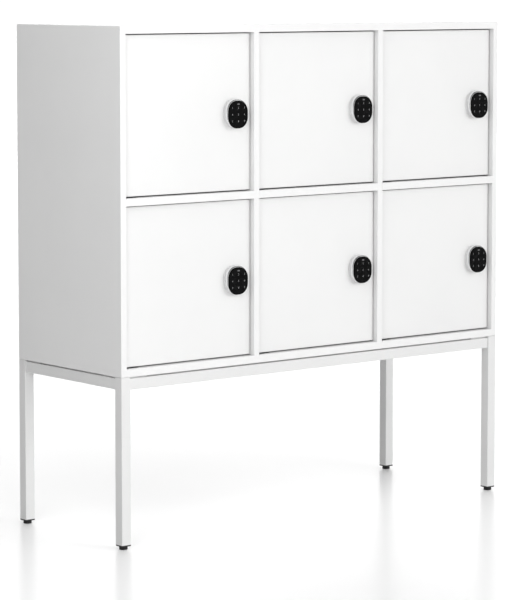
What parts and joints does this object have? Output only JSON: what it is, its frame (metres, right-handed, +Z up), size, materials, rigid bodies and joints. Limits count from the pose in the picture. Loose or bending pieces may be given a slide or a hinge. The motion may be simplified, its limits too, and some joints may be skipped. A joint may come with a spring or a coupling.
{
  "type": "office locker cabinet",
  "caption": "White office locker cabinet on a square-tube base: inset hinged doors, each with a round-cornered keypad lock, over levelling feet.",
  "frame": {"origin": "on the floor, under the middle of the bounding box of the whole cabinet with its doors closed", "axes": "+Z up; the doors and keypads face -Y; +X to the right of a person facing the doors"},
  "size_m": [1.2, 0.4236, 1.214],
  "materials": {
    "white_board": "white melamine-faced board, fine satin",
    "base_paint": "white powder coat, satin",
    "black_plastic": "moulded, fine texture",
    "foot_plastic": "moulded, matt",
    "zinc_steel": "zinc plated",
    "hinge_steel": "black zinc plated, satin",
    "buffer_rubber": "soft grey rubber",
    "lock_silver": "die-cast zinc, satin silver",
    "keypad_black": "gloss black",
    "case_plastic": "moulded, fine texture",
    "bolt_steel": "ground steel"
  },
  "bodies": {
    "carcass": {"top_panel": "white_board", "bottom_panel": "white_board", "side_panel_left": "white_board", "side_panel_right": "white_board", "divider_left": "white_board", "divider_right": "white_board", "back_panel": "white_board", "shelf_left": "white_board", "shelf_centre": "white_board", "shelf_right": "white_board", "leg_front_left": "base_paint", "leg_front_right": "base_paint", "leg_rear_left": "base_paint", "leg_rear_right": "base_paint", "rail_front": "base_paint", "rail_rear": "base_paint", "rail_left": "base_paint", "rail_right": "base_paint", "leg_end_caps": "black_plastic", "mounting_plates": "base_paint", "mounting_screws": "zinc_steel", "pivot_plates": "hinge_steel", "strike_plates": "zinc_steel", "hardware_screws": "zinc_steel", "back_screws": "zinc_steel", "door_buffers": "buffer_rubber"},
    "door_lower_left": {"door_lower_left": "white_board", "lock_housing_lower_left": "lock_silver", "lock_keypad_lower_left": "keypad_black", "lock_case_lower_left": "case_plastic"},
    "bolt_lower_left": {"lock_bolt_lower_left": "bolt_steel"},
    "door_lower_centre": {"door_lower_centre": "white_board", "lock_housing_lower_centre": "lock_silver", "lock_keypad_lower_centre": "keypad_black", "lock_case_lower_centre": "case_plastic"},
    "bolt_lower_centre": {"lock_bolt_lower_centre": "bolt_steel"},
    "door_lower_right": {"door_lower_right": "white_board", "lock_housing_lower_right": "lock_silver", "lock_keypad_lower_right": "keypad_black", "lock_case_lower_right": "case_plastic"},
    "bolt_lower_right": {"lock_bolt_lower_right": "bolt_steel"},
    "door_upper_left": {"door_upper_left": "white_board", "lock_housing_upper_left": "lock_silver", "lock_keypad_upper_left": "keypad_black", "lock_case_upper_left": "case_plastic"},
    "bolt_upper_left": {"lock_bolt_upper_left": "bolt_steel"},
    "door_upper_centre": {"door_upper_centre": "white_board", "lock_housing_upper_centre": "lock_silver", "lock_keypad_upper_centre": "keypad_black", "lock_case_upper_centre": "case_plastic"},
    "bolt_upper_centre": {"lock_bolt_upper_centre": "bolt_steel"},
    "door_upper_right": {"door_upper_right": "white_board", "lock_housing_upper_right": "lock_silver", "lock_keypad_upper_right": "keypad_black", "lock_case_upper_right": "case_plastic"},
    "bolt_upper_right": {"lock_bolt_upper_right": "bolt_steel"},
    "foot_front_left": {"foot_front_left": "foot_plastic"},
    "foot_front_right": {"foot_front_right": "foot_plastic"},
    "foot_rear_left": {"foot_rear_left": "foot_plastic"},
    "foot_rear_right": {"foot_rear_right": "foot_plastic"}
  },
  "joints": [
    {"name": "door_lower_left_hinge", "type": "hinge", "parent": "carcass", "child": "door_lower_left", "pos_m": [-0.572, -0.18625, 0.611], "axis": [0, 0, -1], "range_deg": [0, 95]},
    {"name": "bolt_lower_left_slide", "type": "slide", "parent": "door_lower_left", "child": "bolt_lower_left", "axis": [1, 0, 0], "range_m": [0, 0.014]},
    {"name": "door_lower_centre_hinge", "type": "hinge", "parent": "carcass", "child": "door_lower_centre", "pos_m": [-0.17733, -0.18625, 0.611], "axis": [0, 0, -1], "range_deg": [0, 95]},
    {"name": "bolt_lower_centre_slide", "type": "slide", "parent": "door_lower_centre", "child": "bolt_lower_centre", "axis": [1, 0, 0], "range_m": [0, 0.014]},
    {"name": "door_lower_right_hinge", "type": "hinge", "parent": "carcass", "child": "door_lower_right", "pos_m": [0.21733, -0.18625, 0.611], "axis": [0, 0, -1], "range_deg": [0, 95]},
    {"name": "bolt_lower_right_slide", "type": "slide", "parent": "door_lower_right", "child": "bolt_lower_right", "axis": [1, 0, 0], "range_m": [0, 0.014]},
    {"name": "door_upper_left_hinge", "type": "hinge", "parent": "carcass", "child": "door_upper_left", "pos_m": [-0.572, -0.18625, 1.007], "axis": [0, 0, -1], "range_deg": [0, 95]},
    {"name": "bolt_upper_left_slide", "type": "slide", "parent": "door_upper_left", "child": "bolt_upper_left", "axis": [1, 0, 0], "range_m": [0, 0.014]},
    {"name": "door_upper_centre_hinge", "type": "hinge", "parent": "carcass", "child": "door_upper_centre", "pos_m": [-0.17733, -0.18625, 1.007], "axis": [0, 0, -1], "range_deg": [0, 95]},
    {"name": "bolt_upper_centre_slide", "type": "slide", "parent": "door_upper_centre", "child": "bolt_upper_centre", "axis": [1, 0, 0], "range_m": [0, 0.014]},
    {"name": "door_upper_right_hinge", "type": "hinge", "parent": "carcass", "child": "door_upper_right", "pos_m": [0.21733, -0.18625, 1.007], "axis": [0, 0, -1], "range_deg": [0, 95]},
    {"name": "bolt_upper_right_slide", "type": "slide", "parent": "door_upper_right", "child": "bolt_upper_right", "axis": [1, 0, 0], "range_m": [0, 0.014]},
    {"name": "foot_front_left_screw", "type": "slide", "parent": "carcass", "child": "foot_front_left", "axis": [0, 0, -1], "range_m": [0, 0.012]},
    {"name": "foot_front_right_screw", "type": "slide", "parent": "carcass", "child": "foot_front_right", "axis": [0, 0, -1], "range_m": [0, 0.012]},
    {"name": "foot_rear_left_screw", "type": "slide", "parent": "carcass", "child": "foot_rear_left", "axis": [0, 0, -1], "range_m": [0, 0.012]},
    {"name": "foot_rear_right_screw", "type": "slide", "parent": "carcass", "child": "foot_rear_right", "axis": [0, 0, -1], "range_m": [0, 0.012]}
  ]
}
